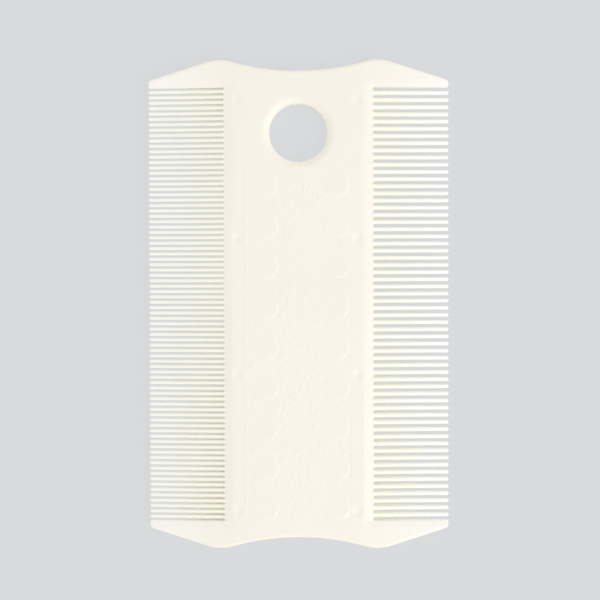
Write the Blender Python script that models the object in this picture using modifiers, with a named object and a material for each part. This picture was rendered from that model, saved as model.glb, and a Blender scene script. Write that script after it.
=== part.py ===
"""A two-sided flea comb, moulded in one piece of cream plastic, in metres with +Z up.

The comb lies on its back face: X runs across it, from the fine teeth to the coarse
ones, and Y along it, towards the end with the hanging hole. The moulding is modelled
as its named zones, which meet face to face on shared planes.
"""

import math

import bmesh
import bpy
from mathutils import Vector

# Overall sizes
LENGTH = 0.0900  # over the humps of the two ends
WIDTH = 0.0552  # over the tips of both tooth rows
THICKNESS = 0.0036  # of the grip plate, the thickest zone

# The end outline: a shallow dip between two humps, then a slope out to each guard tip
DIP_DEPTH = 0.0020
HUMP_X = 0.0145
HUMP_RADIUS = 0.0080
GUARD_HEIGHT = 0.0052  # from the row's end up to the top of the hump
GUARD_TIP_HEIGHT = 0.00143
GUARD_TIP_RADIUS = 0.0009
GUARD_TIP_THICKNESS = 0.0016
GUARD_INNER_ROUND = 0.00025
EDGE_ROUND = 0.0005

# The hanging hole
HOLE_DIAMETER = 0.0107
HOLE_FROM_HUMPS = 0.0134  # hole centre, measured down from the top of the humps
HOLE_ROUND = 0.0012

# The tooth rows
TOOTH_LENGTH = 0.01385
SHOULDER_WIDTH = 0.00225  # the slope from the plate's face down to the tooth roots
ROOT_THICKNESS = 0.0026
TOOTH_TIP_THICKNESS = 0.0009
FINE_PITCH = 0.00099
FINE_SLOT_ROOT = 0.00036
FINE_SLOT_TIP = 0.00040
COARSE_PITCH = 0.00132
COARSE_SLOT_ROOT = 0.00054
COARSE_SLOT_TIP = 0.00064
DRAFT = math.radians(2.0)  # of the slot walls, either way from the parting line
SLOT_ROOT_BEVEL = 0.0001
TIP_SIDE_BEVEL = 0.00012
TIP_FACE_BEVEL = 0.00027

# Clearances and steps
SLOT_PAST_END = 0.00005  # how far the slots reach past the row's ends and its tips
CUT_PAST = 0.0003  # how far a cutter reaches past the faces it opens
ARC_STEP = math.radians(6.0)
DIP_STEP = math.radians(2.0)
LIP_STEP = math.radians(18.0)
HOLE_STEPS = 56
EDGE_STEPS = 3
INNER_EDGE_STEPS = 2
SAME_PLACE = 1e-7
SHARP_ANGLE = math.radians(30.0)

CREAM = (0.93, 0.89, 0.79)
PALE_CREAM = (0.95, 0.92, 0.84)
ROUGHNESS = 0.38

# Places that follow from the sizes above
MIDDLE = THICKNESS / 2
TIP_X = WIDTH / 2
ROOT_X = TIP_X - TOOTH_LENGTH
PLATE_HALF = ROOT_X - SHOULDER_WIDTH
HUMP_TOP = LENGTH / 2
HUMP_Y = HUMP_TOP - HUMP_RADIUS
ROW_HALF = HUMP_TOP - GUARD_HEIGHT
HOLE_Y = HUMP_TOP - HOLE_FROM_HUMPS


def dip_radius():
    """Radius of the dip's arc, which runs tangent into both humps."""
    centres_apart = (HUMP_X**2 + DIP_DEPTH**2) / (2 * DIP_DEPTH)
    return centres_apart - HUMP_RADIUS


def guard_slope():
    """How steeply the end falls from its hump, tangent to it, to the guard's tip."""
    across = TIP_X - HUMP_X
    up = ROW_HALF + GUARD_TIP_HEIGHT - HUMP_Y
    leaves = math.atan2(up, across) + math.acos(HUMP_RADIUS / math.hypot(across, up))
    return math.pi / 2 - leaves


def arc(centre_x, centre_y, radius, start, end, step=ARC_STEP):
    """Points along an arc, both ends included."""
    count = max(2, math.ceil(abs(end - start) / step))
    points = []
    for i in range(count + 1):
        angle = start + (end - start) * i / count
        x = centre_x + radius * math.cos(angle)
        y = centre_y + radius * math.sin(angle)
        points.append((x, y))
    return points


def half_end():
    """The +Y end outline from the guard tip at +X in to the middle of the dip."""
    upright = math.pi / 2
    slope = guard_slope()
    tip_x = TIP_X - GUARD_TIP_RADIUS
    tip_y = ROW_HALF + GUARD_TIP_HEIGHT + GUARD_TIP_RADIUS * math.tan(slope)
    tip_y -= GUARD_TIP_RADIUS / math.cos(slope)
    dip = dip_radius()
    dip_y = HUMP_TOP - DIP_DEPTH + dip
    join = math.asin(HUMP_X / (dip + HUMP_RADIUS))
    points = arc(tip_x, tip_y, GUARD_TIP_RADIUS, 0, upright - slope)
    points += arc(HUMP_X, HUMP_Y, HUMP_RADIUS, upright - slope, upright)
    points += arc(HUMP_X, HUMP_Y, HUMP_RADIUS, upright, upright + join)[1:]
    points += arc(0, dip_y, dip, join - upright, -upright, DIP_STEP)[1:]
    return points


def outline():
    """The whole comb's outline, anticlockwise from the +X guard tip at the +Y end."""
    quarter = half_end()
    end = quarter + [(-x, y) for x, y in reversed(quarter[:-1])]
    return end + [(-x, -y) for x, y in end]


def make_mesh(name, bm):
    """A smooth-shaded mesh from a finished bmesh, which is freed."""
    bmesh.ops.recalc_face_normals(bm, faces=bm.faces)
    mesh = bpy.data.meshes.new(name)
    bm.to_mesh(mesh)
    bm.free()
    mesh.shade_smooth()
    mesh.set_sharp_from_angle(angle=SHARP_ANGLE)
    return mesh


def everything(bm):
    return bm.verts[:] + bm.edges[:] + bm.faces[:]


def round_edges(bm, edges, radius, steps):
    bmesh.ops.bevel(
        bm, geom=edges, offset=radius, segments=steps, profile=0.5, affect="EDGES"
    )


def split(bm, axis, at):
    """Put an edge loop round the mesh where a plane crosses it."""
    normal = Vector((0, 0, 0))
    normal[axis] = 1
    bmesh.ops.bisect_plane(
        bm, geom=everything(bm), dist=SAME_PLACE, plane_co=normal * at, plane_no=normal
    )


def keep_side(bm, axis, at, side):
    """Keep the material beyond a plane, on its + or - side, and close the cut."""
    normal = Vector((0, 0, 0))
    normal[axis] = side
    place = Vector((0, 0, 0))
    place[axis] = at
    cut = bmesh.ops.bisect_plane(
        bm,
        geom=everything(bm),
        dist=SAME_PLACE,
        plane_co=place,
        plane_no=normal,
        clear_inner=True,
    )
    edges = [item for item in cut["geom_cut"] if isinstance(item, bmesh.types.BMEdge)]
    for edge in edges:
        for vert in edge.verts:
            vert.co[axis] = at
    bmesh.ops.edgeloop_fill(bm, edges=edges)


def outline_blank():
    """The outline at full thickness with rounded edges, thinned towards the guard tips."""
    bm = bmesh.new()
    base = bm.faces.new([bm.verts.new((x, y, 0)) for x, y in outline()])
    made = bmesh.ops.extrude_face_region(bm, geom=[base])
    raised = [item for item in made["geom"] if isinstance(item, bmesh.types.BMVert)]
    bmesh.ops.translate(bm, vec=(0, 0, THICKNESS), verts=raised)
    rims = [e for e in bm.edges if abs(e.verts[0].co.z - e.verts[1].co.z) < SAME_PLACE]
    round_edges(bm, rims, EDGE_ROUND, EDGE_STEPS)
    for side in (-1, 1):
        split(bm, 0, side * PLATE_HALF)
    thinning = (1 - GUARD_TIP_THICKNESS / THICKNESS) / (TIP_X - PLATE_HALF)
    for vert in bm.verts:
        beyond = max(0.0, abs(vert.co.x) - PLATE_HALF)
        vert.co.z = MIDDLE + (vert.co.z - MIDDLE) * (1 - beyond * thinning)
    return bm


def hole_profile():
    """Half of the hole cutter's section, from the axis at the top round to it at the bottom."""
    lip_x = HOLE_DIAMETER / 2 + HOLE_ROUND
    lip = arc(lip_x, HOLE_ROUND, HOLE_ROUND, -math.pi / 2, -math.pi, LIP_STEP)
    lower = [(lip_x, -CUT_PAST)] + lip
    upper = [(x, THICKNESS - z) for x, z in lower]
    return [(0, THICKNESS + CUT_PAST)] + upper + lower[::-1] + [(0, -CUT_PAST)]


def add_hole_cutter():
    """A turned cutter that flares at both faces, so that the hole's lips come out rounded."""
    bm = bmesh.new()
    verts = [bm.verts.new((x, 0, z)) for x, z in hole_profile()]
    for pair in zip(verts, verts[1:]):
        bm.edges.new(pair)
    mesh = bpy.data.meshes.new("hang_hole_cutter")
    bm.to_mesh(mesh)
    bm.free()
    cutter = add_cutter("hang_hole_cutter", mesh)
    cutter.location.y = HOLE_Y
    turn = cutter.modifiers.new("turn", "SCREW")
    turn.steps = HOLE_STEPS
    turn.render_steps = HOLE_STEPS
    turn.use_merge_vertices = True
    turn.merge_threshold = SAME_PLACE
    return cutter


def loft(name, rings):
    """A closed mesh through rings of equally many points, capped at both ends."""
    bm = bmesh.new()
    rows = [[bm.verts.new(point) for point in ring] for ring in rings]
    for low, high in zip(rows, rows[1:]):
        for i in range(len(low)):
            j = (i + 1) % len(low)
            bm.faces.new((low[i], low[j], high[j], high[i]))
    bm.faces.new(rows[0])
    bm.faces.new(rows[-1])
    return make_mesh(name, bm)


def row_blank(name, side):
    """A tooth row before its slots: shoulder, tapering teeth and blunt tips, on +X or -X."""
    half_root = ROOT_THICKNESS / 2
    half_tip = TOOTH_TIP_THICKNESS / 2
    upper = [
        (PLATE_HALF, MIDDLE),
        (ROOT_X, half_root),
        (TIP_X - TIP_FACE_BEVEL, half_tip),
        (TIP_X, half_tip - TIP_FACE_BEVEL),
    ]
    profile = [(x, MIDDLE + z) for x, z in upper]
    profile += [(x, MIDDLE - z) for x, z in reversed(upper)]
    rings = []
    for y in (-ROW_HALF, ROW_HALF):
        rings.append([(side * x, y, z) for x, z in profile])
    return loft(name, rings)


def slot_cutter(name, side, slot_root, slot_tip, y):
    """One slot's cutter: a bevelled root, drafted walls and a mouth that bevels the tips."""
    root = slot_root / 2
    tip = slot_tip / 2
    wall = [
        (ROOT_X, root - SLOT_ROOT_BEVEL),
        (ROOT_X + SLOT_ROOT_BEVEL, root),
        (TIP_X - TIP_SIDE_BEVEL, tip),
        (TIP_X + SLOT_PAST_END, tip + TIP_SIDE_BEVEL + SLOT_PAST_END),
    ]
    rings = []
    for z in (-CUT_PAST, MIDDLE, THICKNESS + CUT_PAST):
        open_by = abs(z - MIDDLE) * math.tan(DRAFT)
        there = [(side * x, y + half + open_by, z) for x, half in wall]
        back = [(side * x, y - half - open_by, z) for x, half in reversed(wall)]
        rings.append(there + back)
    return loft(name, rings)


def plastic(name, colour):
    material = bpy.data.materials.new(name)
    material.use_nodes = True
    shader = material.node_tree.nodes["Principled BSDF"]
    shader.inputs["Base Color"].default_value = (*colour, 1.0)
    shader.inputs["Roughness"].default_value = ROUGHNESS
    material.diffuse_color = (*colour, 1.0)
    return material


def add_part(name, mesh, colour):
    obj = bpy.data.objects.new(name, mesh)
    obj.data.materials.append(plastic(name + "_plastic", colour))
    COMB.objects.link(obj)
    return obj


def add_cutter(name, mesh):
    obj = bpy.data.objects.new(name, mesh)
    obj.hide_render = True
    obj.display_type = "WIRE"
    CUTTERS.objects.link(obj)
    return obj


def cut(obj, cutter):
    modifier = obj.modifiers.new(cutter.name, "BOOLEAN")
    modifier.operation = "DIFFERENCE"
    modifier.solver = "EXACT"
    modifier.object = cutter


def add_plate():
    """The grip plate: the middle of the outline, with the hanging hole through it."""
    bm = outline_blank()
    keep_side(bm, 0, -PLATE_HALF, 1)
    keep_side(bm, 0, PLATE_HALF, -1)
    plate = add_part("grip_plate", make_mesh("grip_plate", bm), CREAM)
    cut(plate, add_hole_cutter())


def rims_inner_face(edge, side, end):
    """Whether an edge borders the face a guard turns to the teeth, plate side left out."""
    on_face = all(abs(vert.co.y - end * ROW_HALF) < SAME_PLACE for vert in edge.verts)
    past_plate = any(side * vert.co.x > PLATE_HALF + SAME_PLACE for vert in edge.verts)
    return on_face and past_plate


def add_guard(name, side, end):
    """The solid arm that shields one end of a tooth row, with its inner edges rounded."""
    bm = outline_blank()
    keep_side(bm, 0, side * PLATE_HALF, side)
    keep_side(bm, 1, end * ROW_HALF, end)
    inner = [edge for edge in bm.edges if rims_inner_face(edge, side, end)]
    round_edges(bm, inner, GUARD_INNER_ROUND, INNER_EDGE_STEPS)
    add_part(name, make_mesh(name, bm), CREAM)


def add_row(name, side, pitch, slot_root, slot_tip):
    """A row of teeth with as many slots as fit the span at about the pitch asked for."""
    row = add_part(name, row_blank(name, side), PALE_CREAM)
    outermost = ROW_HALF - slot_root / 2 + SLOT_PAST_END
    teeth = round(2 * outermost / pitch)
    step = 2 * outermost / teeth
    mesh = slot_cutter(name + "_slot_cutter", side, slot_root, slot_tip, -outermost)
    cutter = add_cutter(name + "_slot_cutter", mesh)
    array = cutter.modifiers.new("slots", "ARRAY")
    array.count = teeth + 1
    array.use_relative_offset = False
    array.use_constant_offset = True
    array.constant_offset_displace = (0, step, 0)
    cut(row, cutter)


for old in list(bpy.data.objects):
    bpy.data.objects.remove(old)

COMB = bpy.data.collections.new("flea_comb")
CUTTERS = bpy.data.collections.new("flea_comb_cutters")
for collection in (COMB, CUTTERS):
    bpy.context.scene.collection.children.link(collection)

add_plate()
add_row("fine_tooth_row", -1, FINE_PITCH, FINE_SLOT_ROOT, FINE_SLOT_TIP)
add_row("coarse_tooth_row", 1, COARSE_PITCH, COARSE_SLOT_ROOT, COARSE_SLOT_TIP)
add_guard("fine_side_top_guard", -1, 1)
add_guard("fine_side_bottom_guard", -1, -1)
add_guard("coarse_side_top_guard", 1, 1)
add_guard("coarse_side_bottom_guard", 1, -1)
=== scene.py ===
"""A cream plastic flea comb, with fine teeth on one side and coarser ones on the other."""

import math

import bmesh
import bpy
from mathutils import Matrix, Vector


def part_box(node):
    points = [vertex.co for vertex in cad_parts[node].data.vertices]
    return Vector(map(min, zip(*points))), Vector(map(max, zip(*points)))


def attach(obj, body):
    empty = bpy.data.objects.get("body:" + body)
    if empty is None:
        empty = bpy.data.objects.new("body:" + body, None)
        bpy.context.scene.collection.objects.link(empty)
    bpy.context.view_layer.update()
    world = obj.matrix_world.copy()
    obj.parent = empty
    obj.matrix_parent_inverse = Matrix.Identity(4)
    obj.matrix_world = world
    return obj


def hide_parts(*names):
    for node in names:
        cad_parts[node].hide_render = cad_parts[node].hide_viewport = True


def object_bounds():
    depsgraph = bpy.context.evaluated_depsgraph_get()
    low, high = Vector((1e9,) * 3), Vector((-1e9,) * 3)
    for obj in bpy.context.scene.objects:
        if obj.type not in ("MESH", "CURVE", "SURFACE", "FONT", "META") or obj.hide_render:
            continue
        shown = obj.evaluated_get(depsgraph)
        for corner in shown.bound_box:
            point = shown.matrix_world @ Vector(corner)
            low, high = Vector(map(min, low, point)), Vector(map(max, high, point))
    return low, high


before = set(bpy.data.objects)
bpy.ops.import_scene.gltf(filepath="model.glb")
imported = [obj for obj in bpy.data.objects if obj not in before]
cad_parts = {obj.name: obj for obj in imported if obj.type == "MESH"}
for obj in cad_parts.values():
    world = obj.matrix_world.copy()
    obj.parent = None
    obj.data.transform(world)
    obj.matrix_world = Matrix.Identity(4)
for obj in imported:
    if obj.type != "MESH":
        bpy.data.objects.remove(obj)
CAD_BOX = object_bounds()

MM = 0.001

# Places read from the frame, in metres
PLATE_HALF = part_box("grip_plate")[1].x
ROW_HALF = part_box("coarse_tooth_row")[1].y
HUMP_TOP = CAD_BOX[1].y
TIP_X = CAD_BOX[1].x
HALF_THICK = (CAD_BOX[1].z - CAD_BOX[0].z) / 2
MIDDLE = CAD_BOX[0].z + HALF_THICK

# The outline of the moulding
DIP_DEPTH = 2.0 * MM
HUMP_X = 14.5 * MM
HUMP_RADIUS = 8.0 * MM
GUARD_TIP_HEIGHT = 1.43 * MM
GUARD_TIP_RADIUS = 0.9 * MM
GUARD_HEEL_RADIUS = 0.4 * MM
OUTER_EDGE_ROUND = 0.6 * MM
INNER_EDGE_ROUND = 0.25 * MM
ROOT_EDGE_ROUND = 0.08 * MM
SIDE_DRAFT = 0.04 * MM  # how far the side leans in between the parting line and its rounding
EDGE_HOLD = 0.06 * MM  # a narrow flat band beside the rounded edge
EDGE_STEPS = 4
RUN_STEP = 1.0 * MM
ARC_STEP = math.radians(6.0)
DIP_STEP = math.radians(1.5)
SHARPEST_CORNER = 0.5  # keeps the inset of a tight corner to twice that of a straight side

# The thickness of the moulding, as half thicknesses about its parting plane
ROOT_X = PLATE_HALF + 2.25 * MM
ROOT_HALF_THICK = 1.4 * MM
TOOTH_TIP_HALF_THICK = 0.45 * MM
GUARD_TIP_HALF_THICK = 0.8 * MM
GUARD_BAND = 1.75 * MM  # the part of each guard that falls away towards its tooth row
GUARD_BAND_CURVE = 1.6
SHOULDER_START = 0.2 * MM  # how far inside the plate's side the shoulder starts to fall
SHOULDER_CURVE = 2.0

# The net that the faces are cut into, so that they can follow the thickness
SHOULDER_NET_START = 0.9 * MM
SHOULDER_NET_STEP = 0.2 * MM
GUARD_NET_STEP = 1.0 * MM
GUARD_BAND_NET_STEP = 0.25 * MM
ACROSS = 0
ALONG = 1

# How near two things are before they count as being in one place
SAME_LEVEL = 1e-7
SAME_POINT = 1e-6

# The hanging hole and the round marks left by the mould's pins
HOLE_RADIUS = 5.38 * MM
HOLE_Y = HUMP_TOP - 13.4 * MM
HOLE_LIP_WIDTH = 1.55 * MM
HOLE_LIP_DEPTH = 0.6 * MM
HOLE_STEPS = 96
LIP_STEPS = 10
MARK_RADIUS = 1.4 * MM
MARK_DEPTH = 0.19 * MM
MARK_XS = (-11.35 * MM, 10.95 * MM)
MARK_YS = (37.5 * MM, 12.2 * MM, -12.9 * MM, -38.1 * MM)
MARK_STEPS = 32
MARK_RINGS = 6
MARK_RIM = 0.05 * MM  # the cutter's rim, just outside the mark and just above the face
MARK_RIM_RISE = 0.01 * MM
CUT_PAST = 1.0 * MM  # how far a cutter reaches past the faces
SHARP_ANGLE = math.radians(40.0)

# The raised pattern on the front of the plate
RAISED = 0.09 * MM
PLAIN_FACE = MIDDLE + HALF_THICK - RAISED
PATTERN_LEFT = -9.9 * MM
PATTERN_RIGHT = 9.5 * MM
PATTERN_TOP = 24.55 * MM
PATTERN_BOTTOM = -39.6 * MM
PATTERN_FADE = 0.3 * MM
PATTERN_SEED = 11
NET_STEP = 0.15 * MM
NEARLY_ALL = 0.99  # of the pattern's height: an edge on the face that is taller is the net's
BORDER_X = -9.65 * MM
BORDER_WIDTH = 0.4 * MM
BORDER_HEIGHT = 0.5  # as a share of the height of the pattern
COLUMNS_MIDDLE = 0.28 * MM
COLUMN_X = 6.53 * MM
ROUNDEL_RADIUS = 2.68 * MM
ROUNDEL_SPACING = 7.45 * MM
ROUNDEL_Y = 22.15 * MM
ROUNDEL_LEAN = (-0.9, 1.3)  # in radii: where a tilted roundel meets the face, and its top
ROUNDEL_SLOPE = 0.8  # how wide its sloping rim is, in widths of a stroke
STROKE_LENGTH = 1.6 * MM
STROKE_WIDTH = 0.55 * MM
STROKE_SPACING = 1.5 * MM
STROKE_POINTS = 7
STROKE_BEND = 0.5  # a quarter of this, in lengths, is how far a stroke bows out
STROKE_SCATTER = 0.45  # how far a stroke may stray, in spacings
STROKE_SIDE_GAP = 1.5  # the margins at the two sides together, in spacings
STROKE_TURN = (0.5, 1.5)  # in radians
STROKE_STRETCH = (0.5, 1.3)
CHANCE_INSIDE = 0.6  # how likely a stroke is kept inside a roundel, and between roundels
CHANCE_BETWEEN = 0.7
CLEAR_INSIDE = 1.1 * MM  # how far the strokes keep from a roundel's rim on either side
CLEAR_OUTSIDE = 0.5 * MM
WEAR_SCALE = 420.0
WEAR_DETAIL = 1.0
WEAR = (0.15, 0.75)  # how much of a stroke's height is left where it is worn most and least

# The tooth rows
FINE_PITCH = 0.99 * MM
FINE_SLOT_ROOT = 0.31 * MM
FINE_SLOT_TIP = 0.37 * MM
FINE_TIP_ROUND = 0.30 * MM
FINE_TIP_NARROWING = 0.7  # the share of its width that a tooth loses in its rounded tip
COARSE_PITCH = 1.32 * MM
COARSE_SLOT_ROOT = 0.56 * MM
COARSE_SLOT_TIP = 0.65 * MM
COARSE_TIP_ROUND = 0.26 * MM
COARSE_TIP_NARROWING = 0.4
TOOTH_EMBED = 0.5 * MM
TOOTH_SIDES = 12
TOOTH_LENGTHS = 6
TOOTH_SQUARENESS = 0.36
EMBED_WIDTH = 0.45  # as a share of the pitch, where the tooth is inside the shoulder
EMBED_THICKNESS = 0.9  # as a share of the tooth's thickness at its root
JUST_CLEAR = 0.4999  # as a share of the pitch, so that neighbours don't touch
ROOT_THINNING = (0.995, 0.98)  # the thickness half-way round the root's corner, and past it
TIP_BLUNTING = 0.55  # the share of its thickness that a tooth loses in its rounded tip
HALF_BOW = 1 - math.cos(math.pi / 4)  # how far a quarter round has come in at its middle

# Finishes, as linear colours
PLATE_CREAM = (0.942, 0.900, 0.802)
# the plastic's cream made paler by a painted glow, for light shining through the thinning guard
# towards its tip
GUARD_TIP_CREAM_AND_GLOW = (0.955, 0.935, 0.880)
# the teeth's creams are the plate's plastic made whiter by a painted glow for light shining
# through the thin teeth, palest at the tip
TOOTH_ROOT_CREAM_AND_GLOW = (0.990, 0.976, 0.855)
TOOTH_TIP_CREAM_AND_GLOW = (0.990, 0.985, 0.945)
CLOUD_SCALE = 55.0
CLOUD_DETAIL = 3.0
CLOUD_SHADE = 0.985  # how dark the darkest cloud is, as a share of the plain colour
GRAIN_SCALE = 2600.0
GRAIN_DETAIL = 2.0
NOISE_LOW = 0.3  # a noise's usual lowest and highest values
NOISE_HIGH = 0.7
ROUGHNESS = 0.27
CLOUD_ROUGHNESS = 0.06
GRAIN_ROUGHNESS = 0.04
GRAIN_BUMP = 0.25
GRAIN_HEIGHT = 0.004 * MM
PLASTIC_IOR = 1.5
LIGHT_SINKS_IN = 0.1  # the share of the light that goes into the plastic and out again
PLATE_LIGHT_DEPTH = 0.4 * MM
TOOTH_LIGHT_DEPTH = 0.3 * MM
LIGHT_DEPTH_BY_COLOUR = (1.0, 0.8, 0.45)  # shares of that depth for red, green and blue

# The floor and the backdrop, as linear colours
BACKDROP = (0.687, 0.701, 0.716)
FLOOR_SIZE = 6.0
FLOOR_BELOW = 0.02 * MM
FLOOR_EVENNESS = 0.85  # the share of the floor that is even in tone, the rest being shaded
FLOOR_GLOW_COLOUR = (1.0, 0.97, 0.84)
FLOOR_GLOW_LEVEL = 1.15  # for what it lights, against 1 where the floor is seen

# Camera and light
CAMERA_DISTANCE = 0.320
CAMERA_LENS = 103.4
CAMERA_NEAREST = 0.01
CAMERA_LEAN = (math.radians(0.8), math.radians(1.4))
CAMERA_ROLL = math.radians(-0.14)
CAMERA_AIM = (0.22 * MM, 0.78 * MM, 0.0)
WHITE = (1.0, 1.0, 1.0)
FILL_LEVEL = 0.795
KEY_PLACE = (0.664, -0.360, 0.800)
KEY_SIZE = (0.80, 0.80)
KEY_POWER = 4.2
SLOT_BOUNCES = 12  # the slots between the teeth are deep, and are black with fewer


class Value:
    """A node socket that can be added, multiplied and so on, each time by a Math node."""

    def __init__(self, tree, socket):
        self.tree = tree
        self.socket = socket

    def maths(self, operation, *others):
        """The result of one of the Math node's operations on this value and others."""
        node = self.tree.nodes.new("ShaderNodeMath")
        node.operation = operation
        for place, value in enumerate((self, *others)):
            feed(self.tree, value, node.inputs[place])
        return Value(self.tree, node.outputs[0])

    def __add__(self, other):
        return self.maths("ADD", other)

    def __sub__(self, other):
        return self.maths("SUBTRACT", other)

    def __mul__(self, other):
        return self.maths("MULTIPLY", other)

    def __truediv__(self, other):
        return self.maths("DIVIDE", other)

    def __pow__(self, other):
        return self.maths("POWER", other)

    def __abs__(self):
        return self.maths("ABSOLUTE")

    def less_from(self, number):
        """number minus this value."""
        return self * -1.0 + number

    def smooth(self, start, end):
        """0 at start and 1 at end, with an easy curve between them."""
        node = self.tree.nodes.new("ShaderNodeMapRange")
        node.interpolation_type = "SMOOTHSTEP"
        feed(self.tree, self, node.inputs["Value"])
        feed(self.tree, start, node.inputs["From Min"])
        feed(self.tree, end, node.inputs["From Max"])
        return Value(self.tree, node.outputs[0])

    def ramp(self, start, end, low, high):
        """low at start and high at end, in a straight line that is held beyond them."""
        node = self.tree.nodes.new("ShaderNodeMapRange")
        feed(self.tree, self, node.inputs["Value"])
        feed(self.tree, start, node.inputs["From Min"])
        feed(self.tree, end, node.inputs["From Max"])
        feed(self.tree, low, node.inputs["To Min"])
        feed(self.tree, high, node.inputs["To Max"])
        return Value(self.tree, node.outputs[0])


def feed(tree, value, socket):
    """Link a value into a socket, or write a plain number there."""
    if isinstance(value, Value):
        tree.links.new(value.socket, socket)
    else:
        socket.default_value = value


# ---------------------------------------------------------------- outline of the body


def arc(centre_x, centre_y, radius, start, end, step=ARC_STEP):
    """Points along an arc, both ends included."""
    count = max(2, math.ceil(abs(end - start) / step))
    points = []
    for i in range(count + 1):
        angle = start + (end - start) * i / count
        x = centre_x + radius * math.cos(angle)
        y = centre_y + radius * math.sin(angle)
        points.append((x, y))
    return points


def run(start, end):
    """Points along a straight run, its ends left out."""
    length = math.dist(start, end)
    count = max(1, round(length / RUN_STEP))
    points = []
    for i in range(1, count):
        share = i / count
        x = start[0] + (end[0] - start[0]) * share
        y = start[1] + (end[1] - start[1]) * share
        points.append((x, y))
    return points


def with_round(points, start, end):
    """Each point with its edge rounding, which goes evenly from start to end."""
    last = max(1, len(points) - 1)
    return [(x, y, start + (end - start) * i / last) for i, (x, y) in enumerate(points)]


def guard_slope():
    """How steeply the end falls from its hump, tangent to it, to the guard's tip."""
    across = TIP_X - HUMP_X
    up = ROW_HALF + GUARD_TIP_HEIGHT - (HUMP_TOP - HUMP_RADIUS)
    leaves = math.atan2(up, across) + math.acos(HUMP_RADIUS / math.hypot(across, up))
    return math.pi / 2 - leaves


def guard_tip():
    """The guard's tip: up from its heel beside the teeth, over its nose to the slope."""
    upright = math.pi / 2
    heel = arc(
        TIP_X - GUARD_HEEL_RADIUS,
        ROW_HALF + GUARD_HEEL_RADIUS,
        GUARD_HEEL_RADIUS,
        -upright,
        0,
        ARC_STEP * 2,
    )
    slope = guard_slope()
    nose_x = TIP_X - GUARD_TIP_RADIUS
    nose_y = ROW_HALF + GUARD_TIP_HEIGHT + GUARD_TIP_RADIUS * math.tan(slope)
    nose_y -= GUARD_TIP_RADIUS / math.cos(slope)
    nose = arc(nose_x, nose_y, GUARD_TIP_RADIUS, 0, upright - slope)
    return heel, nose


def end_curve():
    """The hump and the dip, from the foot of the hump's outer slope to the middle."""
    upright = math.pi / 2
    hump_y = HUMP_TOP - HUMP_RADIUS
    centres_apart = (HUMP_X**2 + DIP_DEPTH**2) / (2 * DIP_DEPTH)
    dip = centres_apart - HUMP_RADIUS
    join = math.asin(HUMP_X / centres_apart)
    outer = arc(HUMP_X, hump_y, HUMP_RADIUS, upright - guard_slope(), upright)
    inner = arc(HUMP_X, hump_y, HUMP_RADIUS, upright, upright + join)
    middle = arc(0, HUMP_TOP - DIP_DEPTH + dip, dip, join - upright, -upright, DIP_STEP)
    return outer + inner[1:] + middle[1:]


def quarter_outline():
    """A quarter of the body's outline, from the middle of the +X tooth roots to the dip."""
    corner = FINE_SLOT_ROOT / 2
    root_corner = arc(
        ROOT_X + corner, ROW_HALF - corner, corner, math.pi, math.pi / 2, ARC_STEP * 4
    )
    heel, nose = guard_tip()
    curve = end_curve()
    roots = [(ROOT_X, 0.0)] + run((ROOT_X, 0.0), root_corner[0])
    inner = run(root_corner[-1], heel[0])
    slope = run(nose[-1], curve[0])
    quarter = with_round(roots, ROOT_EDGE_ROUND, ROOT_EDGE_ROUND)
    quarter += with_round(root_corner, ROOT_EDGE_ROUND, INNER_EDGE_ROUND)
    quarter += with_round(inner + heel, INNER_EDGE_ROUND, INNER_EDGE_ROUND)
    quarter += with_round(nose, INNER_EDGE_ROUND, OUTER_EDGE_ROUND)
    quarter += with_round(slope + curve, OUTER_EDGE_ROUND, OUTER_EDGE_ROUND)
    return quarter


def body_outline():
    """The body's outline, anticlockwise, as points with their edge rounding."""
    quarter = quarter_outline()
    half = quarter + [(-x, y, r) for x, y, r in reversed(quarter[1:-1])]
    return half + [(-x, -y, r) for x, y, r in half]


def inward_normals(outline):
    """At each point of a loop, the direction into the material, longer at a corner."""
    count = len(outline)
    normals = []
    for i in range(count):
        before = Vector(outline[i][:2]) - Vector(outline[i - 1][:2])
        after = Vector(outline[(i + 1) % count][:2]) - Vector(outline[i][:2])
        one = Vector((-before.y, before.x)).normalized()
        two = Vector((-after.y, after.x)).normalized()
        middle = (one + two).normalized()
        normals.append(middle / max(SHARPEST_CORNER, middle.dot(one)))
    return normals


def edge_profile(radius):
    """The section of a rounded edge, as (inset, height below the face) pairs going up."""
    steps = [(0.0, HALF_THICK), (SIDE_DRAFT, radius)]
    for i in range(1, EDGE_STEPS + 1):
        angle = math.pi / 2 * i / EDGE_STEPS
        inset = SIDE_DRAFT + radius * (1 - math.cos(angle))
        steps.append((inset, radius * (1 - math.sin(angle))))
    steps.append((SIDE_DRAFT + radius + EDGE_HOLD, 0.0))
    return steps


def body_rings():
    """Loops of points round the body, from the rim of its back face to that of its front."""
    outline = body_outline()
    normals = inward_normals(outline)
    sections = [edge_profile(r) for _, _, r in outline]
    rings = []
    for step in range(len(sections[0])):
        ring = []
        for (x, y, _), normal, section in zip(outline, normals, sections):
            inset, below = section[step]
            ring.append((x + normal.x * inset, y + normal.y * inset, HALF_THICK - below))
        rings.append(ring)
    back = [[(x, y, -z) for x, y, z in ring] for ring in rings[:0:-1]]
    return back + rings


def steps_between(low, high, step):
    """Evenly spaced places about a step apart, both ends included."""
    count = round((high - low) / step)
    return [low + (high - low) * i / count for i in range(count + 1)]


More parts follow.
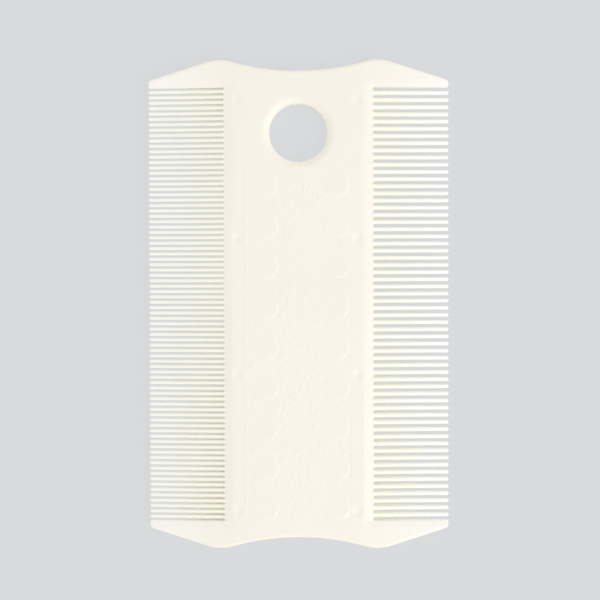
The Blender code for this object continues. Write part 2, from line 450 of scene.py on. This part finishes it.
def cut_face(bm, faces, axis, places):
    """Cut some faces into strips where planes across one axis meet them.

    Repeats are dropped by dict.fromkeys, which keeps the order, so every run is the same.
    """
    normal = Vector((0, 0, 0))
    normal[axis] = 1
    for place in places:
        edges = dict.fromkeys(edge for face in faces for edge in face.edges)
        verts = dict.fromkeys(vert for face in faces for vert in face.verts)
        geom = list(faces) + list(edges) + list(verts)
        cut = bmesh.ops.bisect_plane(
            bm, geom=geom, dist=SAME_LEVEL, plane_co=normal * place, plane_no=normal
        )
        found = dict.fromkeys(cut["geom"] + cut["geom_cut"])
        faces = [item for item in found if isinstance(item, bmesh.types.BMFace)]
    return faces


def body_slab():
    """The body at full thickness, rounded at its edges, with its faces cut into a net."""
    bm = bmesh.new()
    rows = [[bm.verts.new(point) for point in ring] for ring in body_rings()]
    for low, high in zip(rows, rows[1:]):
        for i in range(len(low)):
            j = (i + 1) % len(low)
            bm.faces.new((low[i], low[j], high[j], high[i]))
    back = bm.faces.new(rows[0][::-1])
    front = bm.faces.new(rows[-1])
    shoulder = steps_between(PLATE_HALF - SHOULDER_NET_START, ROOT_X, SHOULDER_NET_STEP)
    guard = steps_between(ROOT_X, TIP_X, GUARD_NET_STEP)[1:-1]
    sides = shoulder + guard
    sides += [-x for x in sides]
    ends = steps_between(ROW_HALF, ROW_HALF + GUARD_BAND, GUARD_BAND_NET_STEP)
    ends += [-y for y in ends]
    strips = cut_face(bm, [back], ALONG, ends)
    cut_face(bm, strips, ACROSS, sides)
    strips = cut_face(bm, [front], ALONG, ends + [PATTERN_TOP, PATTERN_BOTTOM])
    cut_face(bm, strips, ACROSS, sides + [PATTERN_LEFT, PATTERN_RIGHT])
    bmesh.ops.recalc_face_normals(bm, faces=bm.faces)
    return bm


# ------------------------------------------------------------------- node tree helpers


def new_tree(name):
    """An empty Geometry Nodes tree that hands out a mesh."""
    tree = bpy.data.node_groups.new(name, "GeometryNodeTree")
    tree.interface.new_socket("Mesh", in_out="OUTPUT", socket_type="NodeSocketGeometry")
    tree.nodes.new("NodeGroupInput")
    tree.nodes.new("NodeGroupOutput")
    return tree


def add_input(tree, name, kind, value=None):
    """A named input of a tree, as a Value, with the number it starts from."""
    socket = tree.interface.new_socket(name, in_out="INPUT", socket_type="NodeSocket" + kind)
    if value is not None:
        socket.default_value = value
    return Value(tree, tree.nodes["Group Input"].outputs[name])


def finish_tree(tree, mesh_socket):
    """Realize what the tree made, shade it smooth, give it its material and hand it out."""
    material = add_input(tree, "Material", "Material")
    real = tree.nodes.new("GeometryNodeRealizeInstances")
    smooth = tree.nodes.new("GeometryNodeSetShadeSmooth")
    paint = tree.nodes.new("GeometryNodeSetMaterial")
    tree.links.new(mesh_socket, real.inputs[0])
    tree.links.new(real.outputs[0], smooth.inputs[0])
    tree.links.new(smooth.outputs[0], paint.inputs[0])
    tree.links.new(material.socket, paint.inputs["Material"])
    tree.links.new(paint.outputs[0], tree.nodes["Group Output"].inputs[0])


def position_of(tree):
    """The x, y and z of the point at hand, as three Values."""
    place = tree.nodes.new("GeometryNodeInputPosition")
    split = tree.nodes.new("ShaderNodeSeparateXYZ")
    tree.links.new(place.outputs[0], split.inputs[0])
    return [Value(tree, socket) for socket in split.outputs]


def moved_to(tree, mesh_socket, x, y, z):
    """The mesh with each point moved to a new place."""
    move = tree.nodes.new("GeometryNodeSetPosition")
    tree.links.new(mesh_socket, move.inputs["Geometry"])
    tree.links.new(vector(tree, x, y, z).socket, move.inputs["Position"])
    return move.outputs[0]


def shifted(tree, mesh_socket, by):
    """The mesh with each point moved by its own amount."""
    move = tree.nodes.new("GeometryNodeSetPosition")
    tree.links.new(mesh_socket, move.inputs["Geometry"])
    tree.links.new(by.socket, move.inputs["Offset"])
    return move.outputs[0]


def shifted_up(tree, instances, height):
    """Instances moved up to a level."""
    move = tree.nodes.new("GeometryNodeTransform")
    tree.links.new(instances, move.inputs["Geometry"])
    tree.links.new(vector(tree, z=height).socket, move.inputs["Translation"])
    return move.outputs[0]


def picked(tree, index, values):
    """The value at a whole-number index, from a list of values."""
    node = tree.nodes.new("GeometryNodeIndexSwitch")
    node.data_type = "FLOAT"
    while len(node.index_switch_items) < len(values):
        node.index_switch_items.new()
    feed(tree, index, node.inputs[0])
    for place, value in enumerate(values):
        feed(tree, value, node.inputs[place + 1])
    return Value(tree, node.outputs[0])


def random_between(tree, low, high, seed):
    """A different value for each point or instance, between low and high."""
    node = tree.nodes.new("FunctionNodeRandomValue")
    for name, value in (("Min", low), ("Max", high), ("Seed", seed)):
        socket = [item for item in node.inputs if item.name == name and item.enabled][0]
        feed(tree, value, socket)
    return Value(tree, [item for item in node.outputs if item.enabled][0])


def vector(tree, x=0.0, y=0.0, z=0.0):
    """Three values joined into one vector, for a socket that wants one."""
    join = tree.nodes.new("ShaderNodeCombineXYZ")
    for value, socket in zip((x, y, z), join.inputs):
        feed(tree, value, socket)
    return Value(tree, join.outputs[0])


def cylinder(tree, sides, lengths):
    """A blank of radius 1 about Z, its rings of points 1 apart and its middle at 0."""
    blank = tree.nodes.new("GeometryNodeMeshCylinder")
    blank.inputs["Vertices"].default_value = sides
    blank.inputs["Side Segments"].default_value = lengths
    blank.inputs["Radius"].default_value = 1.0
    blank.inputs["Depth"].default_value = float(lengths)
    return blank.outputs["Mesh"]


def placed(tree, points, mesh, rotation=None, scale=None):
    """A copy of the mesh on each point."""
    place = tree.nodes.new("GeometryNodeInstanceOnPoints")
    tree.links.new(points, place.inputs["Points"])
    tree.links.new(mesh, place.inputs["Instance"])
    if rotation:
        tree.links.new(rotation.socket, place.inputs["Rotation"])
    if scale:
        tree.links.new(scale.socket, place.inputs["Scale"])
    return place.outputs[0]


def new_object(name, mesh):
    """An object in the scene, at the origin."""
    obj = bpy.data.objects.new(name, mesh)
    bpy.context.scene.collection.objects.link(obj)
    return obj


def work_in(obj):
    """Replace an object's mesh by its evaluated one and take its modifiers off."""
    graph = bpy.context.evaluated_depsgraph_get()
    mesh = bpy.data.meshes.new_from_object(obj.evaluated_get(graph))
    obj.modifiers.clear()
    obj.data = mesh
    mesh.name = obj.name


def run_tree(obj, tree, settings):
    """Run a node tree on an object and work the result into its mesh."""
    modifier = obj.modifiers.new(tree.name, "NODES")
    modifier.node_group = tree
    for item in tree.interface.items_tree:
        if item.in_out == "INPUT" and item.name in settings:
            modifier[item.identifier] = settings[item.name]
    work_in(obj)


# ------------------------------------------------------------------------ the body


def body_thickness(tree, x, y, half):
    """Half the moulding's thickness at a place: plate, guards, and shoulders to the teeth."""
    root = add_input(tree, "Root X", "Float", ROOT_X)
    root_half = add_input(tree, "Root Half Thickness", "Float", ROOT_HALF_THICK)
    guard_half = add_input(tree, "Guard Tip Half Thickness", "Float", GUARD_TIP_HALF_THICK)
    tooth_half = add_input(tree, "Tooth Tip Half Thickness", "Float", TOOTH_TIP_HALF_THICK)
    band = add_input(tree, "Guard Band", "Float", GUARD_BAND)
    across = abs(x)
    along = abs(y)
    guard = across.ramp(PLATE_HALF, TIP_X, half, guard_half)
    tooth = across.ramp(root, TIP_X, root_half, tooth_half)
    beside_plate = across.ramp(PLATE_HALF - SHOULDER_START, root, 0.0, 1.0) ** SHOULDER_CURVE
    beside_guard = along.ramp(band + ROW_HALF, ROW_HALF, 0.0, 1.0) ** GUARD_BAND_CURVE
    return guard - (guard - tooth) * beside_plate * beside_guard


def body_tree():
    """The tree that gives the flat slab its thickness.

    Its front is lower by the height of the pattern, which is raised from it later.
    """
    tree = new_tree("moulded_faces")
    mesh = add_input(tree, "Slab", "Geometry")
    half = add_input(tree, "Plate Half Thickness", "Float", HALF_THICK)
    raised = add_input(tree, "Raised", "Float", RAISED)
    x, y, z = position_of(tree)
    level = z / half
    front = level.ramp(0.0, 1.0, 0.0, 1.0)
    height = level * body_thickness(tree, x, y, half) - raised * front + MIDDLE
    finish_tree(tree, moved_to(tree, mesh.socket, x, y, height))
    return tree


def faces_in_order(bm):
    """Each face as the indices of its points, in an order that is the same on every run."""
    bm.verts.index_update()
    return sorted([vert.index for vert in face.verts] for face in bm.faces)


def turned_cutter(profile, steps):
    """A closed mesh turned from (radius, height) pairs, the first and last on the axis."""
    bm = bmesh.new()
    verts = [bm.verts.new((x, 0, z)) for x, z in profile]
    edges = [bm.edges.new(pair) for pair in zip(verts, verts[1:])]
    bmesh.ops.spin(
        bm,
        geom=verts + edges,
        cent=(0, 0, 0),
        axis=(0, 0, 1),
        angle=2 * math.pi,
        steps=steps,
        use_merge=True,
    )
    bmesh.ops.remove_doubles(bm, verts=bm.verts, dist=SAME_POINT)
    bmesh.ops.recalc_face_normals(bm, faces=bm.faces)
    mesh = bpy.data.meshes.new("turned_cutter")
    mesh.from_pydata([vert.co for vert in bm.verts], [], faces_in_order(bm))
    bm.free()
    return mesh


def hole_cutter():
    """The hanging hole, flared at both faces by a broad lip that curves in gently."""
    face = HALF_THICK - RAISED
    lip = []
    for i in range(LIP_STEPS + 1):
        inward = i / LIP_STEPS
        across = HOLE_RADIUS + HOLE_LIP_WIDTH * (1 - inward)
        lip.append((across, HOLE_LIP_DEPTH * inward * inward))
    outer = HOLE_RADIUS + HOLE_LIP_WIDTH
    lower = [(0, -HALF_THICK - CUT_PAST), (outer, -HALF_THICK - CUT_PAST)]
    lower += [(across, -HALF_THICK + depth) for across, depth in lip]
    upper = [(across, face - depth) for across, depth in reversed(lip)]
    upper += [(outer, face + CUT_PAST), (0, face + CUT_PAST)]
    mesh = turned_cutter(lower + upper, HOLE_STEPS)
    mesh.transform(Matrix.Translation((0, HOLE_Y, MIDDLE)))
    return mesh


def mark_cutter(x, y):
    """A shallow round dimple with soft edges."""
    profile = []
    for i in range(MARK_RINGS + 1):
        across = MARK_RADIUS * i / MARK_RINGS
        depth = MARK_DEPTH * (1 + math.cos(math.pi * i / MARK_RINGS)) / 2
        profile.append((across, PLAIN_FACE - depth))
    rim = MARK_RADIUS + MARK_RIM
    profile += [(rim, PLAIN_FACE + MARK_RIM_RISE), (rim, PLAIN_FACE + CUT_PAST)]
    profile += [(0, PLAIN_FACE + CUT_PAST)]
    mesh = turned_cutter(profile, MARK_STEPS)
    mesh.transform(Matrix.Translation((x, y, 0)))
    return mesh


def cut_away(obj, meshes):
    """Cut closed shapes out of an object."""
    bm = bmesh.new()
    for mesh in meshes:
        bm.from_mesh(mesh)
    joined = bpy.data.meshes.new("cutters")
    bm.to_mesh(joined)
    bm.free()
    cutter = new_object("cutters", joined)
    modifier = obj.modifiers.new("cut", "BOOLEAN")
    modifier.operation = "DIFFERENCE"
    modifier.solver = "EXACT"
    modifier.object = cutter
    work_in(obj)
    bpy.data.objects.remove(cutter)


def add_body(material):
    """The plate, its shoulders and the four guards, as the one moulding that they are."""
    bm = body_slab()
    mesh = bpy.data.meshes.new("slab")
    bm.to_mesh(mesh)
    bm.free()
    body = new_object("comb_body", mesh)
    run_tree(body, body_tree(), {"Material": material})
    marks = [mark_cutter(x, y) for x in MARK_XS for y in MARK_YS]
    cut_away(body, [hole_cutter()] + marks)
    add_net(body)
    run_tree(body, pattern_tree(), {"Material": material, "Seed": PATTERN_SEED})
    body.data.set_sharp_from_angle(angle=SHARP_ANGLE)
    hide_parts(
        "grip_plate",
        "fine_side_top_guard",
        "fine_side_bottom_guard",
        "coarse_side_top_guard",
        "coarse_side_bottom_guard",
    )
    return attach(body, "root")


# ------------------------------------------------------------------ the raised pattern


def along_edge(edge):
    """The way from one end of an edge to the other."""
    return edge.verts[1].co - edge.verts[0].co


def add_net(obj):
    """Split the plain rectangle on the front of the plate into a fine net."""
    bm = bmesh.new()
    bm.from_mesh(obj.data)
    middle = Vector(
        (
            (PATTERN_LEFT + PATTERN_RIGHT) / 2,
            (PATTERN_TOP + PATTERN_BOTTOM) / 2,
            PLAIN_FACE,
        )
    )
    plain = min(bm.faces, key=lambda face: (face.calc_center_median() - middle).length)
    wide = round((PATTERN_RIGHT - PATTERN_LEFT) / NET_STEP)
    high = round((PATTERN_TOP - PATTERN_BOTTOM) / NET_STEP)
    level = [edge for edge in plain.edges if abs(along_edge(edge).y) < SAME_LEVEL]
    bmesh.ops.subdivide_edges(bm, edges=level, cuts=wide - 1, use_grid_fill=True)
    upright = []
    for edge in bm.edges:
        tall = abs(along_edge(edge).y) > (PATTERN_TOP - PATTERN_BOTTOM) * NEARLY_ALL
        if tall and abs(edge.verts[0].co.z - PLAIN_FACE) < SAME_POINT:
            upright.append(edge)
    bmesh.ops.subdivide_edges(bm, edges=upright, cuts=high - 1, use_grid_fill=True)
    bm.to_mesh(obj.data)
    bm.free()


def stroke(tree, length):
    """A short bent line along X."""
    line = tree.nodes.new("GeometryNodeMeshLine")
    line.inputs["Count"].default_value = STROKE_POINTS
    tree.links.new(vector(tree, 1.0).socket, line.inputs["Offset"])
    x, _, _ = position_of(tree)
    along = x / (STROKE_POINTS - 1.0) - 0.5
    bend = (along * along).less_from(0.25) * length * STROKE_BEND
    return moved_to(tree, line.outputs[0], along * length, bend, 0.0)


def point_grid(tree, columns, rows, size_x, size_y, x, y):
    """A grid of points, its middle at x and y."""
    grid = tree.nodes.new("GeometryNodeMeshGrid")
    grid.inputs["Vertices X"].default_value = columns
    grid.inputs["Vertices Y"].default_value = rows
    feed(tree, size_x, grid.inputs["Size X"])
    feed(tree, size_y, grid.inputs["Size Y"])
    return shifted(tree, grid.outputs["Mesh"], vector(tree, x, y))


def from_roundel(tree, column, spacing):
    """How far the point at hand is from the nearest roundel's middle: in X, in Y and in all."""
    x, y, _ = position_of(tree)
    x = x - COLUMNS_MIDDLE
    across = (abs(x) - column) * x.maths("SIGN")
    along = (y - ROUNDEL_Y).maths("WRAP", spacing / 2.0, spacing / -2.0)
    return across, along, (across * across + along * along).maths("SQRT")


def loose_points(tree, column, radius, spacing, seed):
    """Points for the loose strokes: scattered, but clear of every roundel's ridge."""
    size_x = PATTERN_RIGHT - PATTERN_LEFT - STROKE_SIDE_GAP * STROKE_SPACING
    size_y = PATTERN_TOP - PATTERN_BOTTOM - STROKE_SPACING
    columns = round(size_x / STROKE_SPACING) + 1
    rows = round(size_y / STROKE_SPACING) + 1
    middle = (PATTERN_TOP + PATTERN_BOTTOM) / 2
    grid = point_grid(tree, columns, rows, size_x, size_y, 0.0, middle)
    reach = STROKE_SPACING * STROKE_SCATTER
    off_x = random_between(tree, -reach, reach, seed)
    off_y = random_between(tree, -reach, reach, seed + 1.0)
    scattered = shifted(tree, grid, vector(tree, off_x, off_y))
    _, _, off_centre = from_roundel(tree, column, spacing)
    inside = off_centre.maths("LESS_THAN", radius - CLEAR_INSIDE)
    between = off_centre.maths("GREATER_THAN", radius + CLEAR_OUTSIDE)
    chance = inside * CHANCE_INSIDE + between * CHANCE_BETWEEN
    keep = random_between(tree, 0.0, 1.0, seed + 2.0).maths("LESS_THAN", chance)
    drop = tree.nodes.new("GeometryNodeDeleteGeometry")
    tree.links.new(scattered, drop.inputs["Geometry"])
    tree.links.new(keep.less_from(1.0).socket, drop.inputs["Selection"])
    return drop.outputs[0]


def noise_between(tree, scale, detail, low, high):
    """A smooth random value at each place, between two limits."""
    noise = tree.nodes.new("ShaderNodeTexNoise")
    noise.inputs["Scale"].default_value = scale
    noise.inputs["Detail"].default_value = detail
    return Value(tree, noise.outputs[0]).ramp(NOISE_LOW, NOISE_HIGH, low, high)


def distance_to(tree, lines):
    """How far the point at hand is from the nearest of some lines."""
    real = tree.nodes.new("GeometryNodeRealizeInstances")
    near = tree.nodes.new("GeometryNodeProximity")
    near.target_element = "EDGES"
    tree.links.new(lines, real.inputs[0])
    tree.links.new(real.outputs[0], near.inputs[0])
    return Value(tree, near.outputs["Distance"])


def pattern_tree():
    """The tree that raises two columns of roundels, loose strokes and a border line."""
    tree = new_tree("raised_pattern")
    mesh = add_input(tree, "Body", "Geometry")
    column = add_input(tree, "Column X", "Float", COLUMN_X)
    radius = add_input(tree, "Roundel Radius", "Float", ROUNDEL_RADIUS)
    spacing = add_input(tree, "Roundel Spacing", "Float", ROUNDEL_SPACING)
    length = add_input(tree, "Stroke Length", "Float", STROKE_LENGTH)
    width = add_input(tree, "Stroke Width", "Float", STROKE_WIDTH)
    raised = add_input(tree, "Raised", "Float", RAISED)
    seed = add_input(tree, "Seed", "Int", PATTERN_SEED)

    turn = vector(tree, z=random_between(tree, *STROKE_TURN, seed + 3.0))
    stretch = vector(tree, random_between(tree, *STROKE_STRETCH, seed + 4.0), 1.0, 1.0)
    points = loose_points(tree, column, radius, spacing, seed)
    loose = placed(tree, points, stroke(tree, length), turn, stretch)
    lines = shifted_up(tree, loose, PLAIN_FACE)
    strokes = distance_to(tree, lines).smooth(width / 2.0, 0.0)

    x, y, z = position_of(tree)
    across, along, off_centre = from_roundel(tree, column, spacing)
    lean = ((across - along) / radius).ramp(*ROUNDEL_LEAN, 0.0, 1.0)
    disc = off_centre.smooth(radius, radius - width * ROUNDEL_SLOPE) * lean
    border = abs(x - BORDER_X).smooth(BORDER_WIDTH / 2, 0.0) * BORDER_HEIGHT
    worn = noise_between(tree, WEAR_SCALE, WEAR_DETAIL, *WEAR)
    height = (strokes * worn).maths("MAXIMUM", disc).maths("MAXIMUM", border)

    on_face = z.maths("GREATER_THAN", PLAIN_FACE - SAME_POINT)
    below_top = y.smooth(PATTERN_TOP, PATTERN_TOP - PATTERN_FADE)
    above_bottom = y.smooth(PATTERN_BOTTOM, PATTERN_BOTTOM + PATTERN_FADE)
    up = height * raised * on_face * (below_top * above_bottom)
    finish_tree(tree, moved_to(tree, mesh.socket, x, y, z + up))
    return tree


# ------------------------------------------------------------------------ the teeth


def squared(value):
    """A sine or cosine pushed out towards 1 or -1, which makes a round section squarer."""
    return value.maths("SIGN") * abs(value) ** TOOTH_SQUARENESS


def tooth_rings(pitch, slot_root, slot_tip, tip_round, narrowing):
    """A tooth's rings from root to tip: distances out, half widths and half thicknesses."""
    root_round = slot_root / 2
    tip_half = (pitch - slot_tip) / 2
    distances = [
        ROOT_X - TOOTH_EMBED,
        ROOT_X,
        root_round * HALF_BOW + ROOT_X,
        root_round + ROOT_X,
        tip_round.less_from(TIP_X),
        (tip_round * HALF_BOW).less_from(TIP_X),
        TIP_X,
    ]
    half_widths = [
        pitch * EMBED_WIDTH,
        pitch * JUST_CLEAR,
        pitch / 2 - root_round * (1 - HALF_BOW),
        pitch / 2 - root_round,
        tip_half,
        tip_half * (narrowing * HALF_BOW).less_from(1.0),
        tip_half * narrowing.less_from(1.0),
    ]
    half_thicknesses = [
        ROOT_HALF_THICK * EMBED_THICKNESS,
        ROOT_HALF_THICK,
        ROOT_HALF_THICK * ROOT_THINNING[0],
        ROOT_HALF_THICK * ROOT_THINNING[1],
        TOOTH_TIP_HALF_THICK,
        TOOTH_TIP_HALF_THICK * (1 - TIP_BLUNTING * HALF_BOW),
        TOOTH_TIP_HALF_THICK * (1 - TIP_BLUNTING),
    ]
    return distances, half_widths, half_thicknesses


def tooth_tree():
    """The tree that makes one row: a tapering tooth, repeated along the comb."""
    tree = new_tree("tooth_row")
    count = add_input(tree, "Tooth Count", "Int", 1)
    pitch = add_input(tree, "Pitch", "Float", COARSE_PITCH)
    slot_root = add_input(tree, "Slot At Root", "Float", COARSE_SLOT_ROOT)
    slot_tip = add_input(tree, "Slot At Tip", "Float", COARSE_SLOT_TIP)
    tip_round = add_input(tree, "Tip Round", "Float", COARSE_TIP_ROUND)
    narrowing = add_input(tree, "Tip Narrowing", "Float", COARSE_TIP_NARROWING)
    side = add_input(tree, "Side", "Float", 1.0)

    over, up, height = position_of(tree)
    ring = (height + TOOTH_LENGTHS / 2).maths("ROUND")
    rings = tooth_rings(pitch, slot_root, slot_tip, tip_round, narrowing)
    distance, half_width, half_thick = [picked(tree, ring, values) for values in rings]
    y = half_width * squared(over) * side
    z = half_thick * squared(up)
    blank = cylinder(tree, TOOTH_SIDES, TOOTH_LENGTHS)
    tooth = moved_to(tree, blank, distance * side, y, z)

    first = (count - 1.0) * pitch / -2.0
    line = tree.nodes.new("GeometryNodeMeshLine")
    feed(tree, count, line.inputs["Count"])
    tree.links.new(vector(tree, 0.0, first, MIDDLE).socket, line.inputs["Start Location"])
    tree.links.new(vector(tree, 0.0, pitch).socket, line.inputs["Offset"])
    finish_tree(tree, placed(tree, line.outputs[0], tooth))
    return tree


def add_teeth(name, node, tree, side, pitch, slots, tip, material):
    """A row of teeth, as many as fit between the guards at about the pitch asked for."""
    span = 2 * ROW_HALF - slots[0]
    count = round(span / pitch)
    settings = {
        "Tooth Count": count,
        "Pitch": span / count,
        "Slot At Root": slots[0],
        "Slot At Tip": slots[1],
        "Tip Round": tip[0],
        "Tip Narrowing": tip[1],
        "Side": side,
        "Material": material,
    }
    teeth = new_object(name, bpy.data.meshes.new(name))
    run_tree(teeth, tree, settings)
    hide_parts(node)
    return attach(teeth, "root")


# ------------------------------------------------------------------------ finishes


def mixed_colour(tree, share, one, two):
    """A colour that goes from one to two as the share goes from 0 to 1."""
    mix = tree.nodes.new("ShaderNodeMix")
    mix.data_type = "RGBA"
    mix.inputs["A"].default_value = (*one, 1.0)
    mix.inputs["B"].default_value = (*two, 1.0)
    tree.links.new(share.socket, mix.inputs["Factor"])
    return mix.outputs["Result"]


def noise_over(tree, place, scale, detail):
    """Smooth random values over the object, most of them between NOISE_LOW and NOISE_HIGH."""
    noise = tree.nodes.new("ShaderNodeTexNoise")
    noise.inputs["Scale"].default_value = scale
    noise.inputs["Detail"].default_value = detail
    tree.links.new(place, noise.inputs["Vector"])
    return Value(tree, noise.outputs[0])


def add_bump(tree, shader, grain):
    """A very fine grain on the surface, too small to be part of the shape."""
    bump = tree.nodes.new("ShaderNodeBump")
    bump.inputs["Strength"].default_value = GRAIN_BUMP
    bump.inputs["Distance"].default_value = GRAIN_HEIGHT
    tree.links.new(grain.socket, bump.inputs["Height"])
    tree.links.new(bump.outputs[0], shader.inputs["Normal"])


def moulded_plastic(name, thick_colour, thin_glow_colour, thick_at, light_depth):
    """Cream plastic, satin from the mould, with a painted glow that makes it paler towards the
    tips where it thins.
    """
    material = bpy.data.materials.new(name)
    material.use_nodes = True
    tree = material.node_tree
    shader = tree.nodes["Principled BSDF"]
    place = tree.nodes.new("ShaderNodeTexCoord").outputs["Object"]
    split = tree.nodes.new("ShaderNodeSeparateXYZ")
    tree.links.new(place, split.inputs[0])
    # painted glow: the colour pales from thick_at out to the tips, for light shining through
    # the thin plastic
    painted_glow_share = abs(Value(tree, split.outputs[0])).smooth(thick_at, TIP_X)
    clouds = noise_over(tree, place, CLOUD_SCALE, CLOUD_DETAIL)
    grain = noise_over(tree, place, GRAIN_SCALE, GRAIN_DETAIL)

    tint = tree.nodes.new("ShaderNodeVectorMath")
    tint.operation = "SCALE"
    tree.links.new(mixed_colour(tree, painted_glow_share, thick_colour, thin_glow_colour), tint.inputs[0])
    feed(tree, clouds.ramp(NOISE_LOW, NOISE_HIGH, CLOUD_SHADE, 1.0), tint.inputs["Scale"])
    tree.links.new(tint.outputs[0], shader.inputs["Base Color"])
    roughness = clouds * CLOUD_ROUGHNESS + grain * GRAIN_ROUGHNESS + ROUGHNESS
    feed(tree, roughness, shader.inputs["Roughness"])
    add_bump(tree, shader, grain)

    shader.inputs["IOR"].default_value = PLASTIC_IOR
    shader.inputs["Subsurface Weight"].default_value = LIGHT_SINKS_IN
    shader.inputs["Subsurface Radius"].default_value = LIGHT_DEPTH_BY_COLOUR
    shader.inputs["Subsurface Scale"].default_value = light_depth
    return material


def seen_directly(tree):
    """1 for what the camera, a reflection or clear plastic shows, and 0 for lighting."""
    path = tree.nodes.new("ShaderNodeLightPath")
    camera = Value(tree, path.outputs["Is Camera Ray"])
    glossy = Value(tree, path.outputs["Is Glossy Ray"])
    through = Value(tree, path.outputs["Is Transmission Ray"])
    return camera.maths("MAXIMUM", glossy.maths("MAXIMUM", through))


def mix_shaders(tree, share, one, two, output):
    """Hand out one shader where the share is 0 and the other where it is 1."""
    mix = tree.nodes.new("ShaderNodeMixShader")
    out = tree.nodes.new(output)
    feed(tree, share, mix.inputs[0])
    tree.links.new(one.outputs[0], mix.inputs[1])
    tree.links.new(two.outputs[0], mix.inputs[2])
    tree.links.new(mix.outputs[0], out.inputs[0])


def floor_material():
    """A matt floor, mostly made even by a glow, so that only a soft part of a shadow shows.

    Its glow has the backdrop's colour where it is seen, and is warmer where it lights things.
    """
    material = bpy.data.materials.new("pale_floor")
    material.use_nodes = True
    tree = material.node_tree
    tree.nodes.clear()
    seen = seen_directly(tree)
    matt = tree.nodes.new("ShaderNodeBsdfDiffuse")
    matt.inputs["Color"].default_value = (*BACKDROP, 1.0)
    glow = tree.nodes.new("ShaderNodeEmission")
    glow_colour = mixed_colour(tree, seen, FLOOR_GLOW_COLOUR, BACKDROP)
    tree.links.new(glow_colour, glow.inputs["Color"])
    strength = seen * (1.0 - FLOOR_GLOW_LEVEL) + FLOOR_GLOW_LEVEL
    feed(tree, strength, glow.inputs["Strength"])
    mix_shaders(tree, FLOOR_EVENNESS, matt, glow, "ShaderNodeOutputMaterial")
    return material


def add_floor():
    """A plain pale floor just under the comb."""
    height = CAD_BOX[0].z - FLOOR_BELOW
    bpy.ops.mesh.primitive_plane_add(size=FLOOR_SIZE, location=(0, 0, height))
    floor = bpy.context.object
    floor.name = "floor"
    floor.data.materials.append(floor_material())


def add_world():
    """Even light from all round, with the backdrop's own colour where it is seen."""
    world = bpy.data.worlds.new("studio")
    bpy.context.scene.world = world
    world.use_nodes = True
    tree = world.node_tree
    tree.nodes.clear()
    fill = tree.nodes.new("ShaderNodeBackground")
    fill.inputs["Color"].default_value = (*WHITE, 1.0)
    fill.inputs["Strength"].default_value = FILL_LEVEL
    backdrop = tree.nodes.new("ShaderNodeBackground")
    backdrop.inputs["Color"].default_value = (*BACKDROP, 1.0)
    mix_shaders(tree, seen_directly(tree), fill, backdrop, "ShaderNodeOutputWorld")


def add_softbox(name, place, size, power):
    """A soft light of some width and height, aimed at the comb."""
    lamp = bpy.data.lights.new(name, "AREA")
    lamp.shape = "RECTANGLE"
    lamp.size, lamp.size_y = size
    lamp.energy = power
    obj = bpy.data.objects.new(name, lamp)
    obj.location = place
    obj.rotation_euler = (-Vector(place)).to_track_quat("-Z", "Y").to_euler()
    bpy.context.scene.collection.objects.link(obj)


def add_camera():
    """Looking down on the comb, from a little towards the hole's end and the coarse teeth."""
    data = bpy.data.cameras.new("camera")
    data.lens = CAMERA_LENS
    data.clip_start = CAMERA_NEAREST
    camera = bpy.data.objects.new("camera", data)
    bpy.context.scene.collection.objects.link(camera)
    back = Vector((math.sin(CAMERA_LEAN[0]), math.sin(CAMERA_LEAN[1]), 1.0)).normalized()
    right = Vector((0, 1, 0)).cross(back).normalized()
    axes = Matrix((right, back.cross(right), back)).transposed()
    turn = axes @ Matrix.Rotation(CAMERA_ROLL, 3, "Z")
    camera.location = Vector(CAMERA_AIM) + back * CAMERA_DISTANCE
    camera.rotation_euler = turn.to_euler()
    bpy.context.scene.camera = camera


add_camera()
add_world()
add_softbox("key_softbox", KEY_PLACE, KEY_SIZE, KEY_POWER)
add_floor()

plate_finish = moulded_plastic(
    "plate_plastic", PLATE_CREAM, GUARD_TIP_CREAM_AND_GLOW, PLATE_HALF, PLATE_LIGHT_DEPTH
)
# the teeth's finish is the plate's plastic with a painted glow, whiter at the root and more so
# at the tip
tooth_finish_and_glow = moulded_plastic(
    "tooth_plastic", TOOTH_ROOT_CREAM_AND_GLOW, TOOTH_TIP_CREAM_AND_GLOW, ROOT_X, TOOTH_LIGHT_DEPTH
)
add_body(plate_finish)
row_tree = tooth_tree()
add_teeth(
    "fine_teeth",
    "fine_tooth_row",
    row_tree,
    side=-1.0,
    pitch=FINE_PITCH,
    slots=(FINE_SLOT_ROOT, FINE_SLOT_TIP),
    tip=(FINE_TIP_ROUND, FINE_TIP_NARROWING),
    material=tooth_finish_and_glow,
)
add_teeth(
    "coarse_teeth",
    "coarse_tooth_row",
    row_tree,
    side=1.0,
    pitch=COARSE_PITCH,
    slots=(COARSE_SLOT_ROOT, COARSE_SLOT_TIP),
    tip=(COARSE_TIP_ROUND, COARSE_TIP_NARROWING),
    material=tooth_finish_and_glow,
)

bpy.context.scene.view_settings.view_transform = "Standard"
bpy.context.scene.cycles.diffuse_bounces = SLOT_BOUNCES
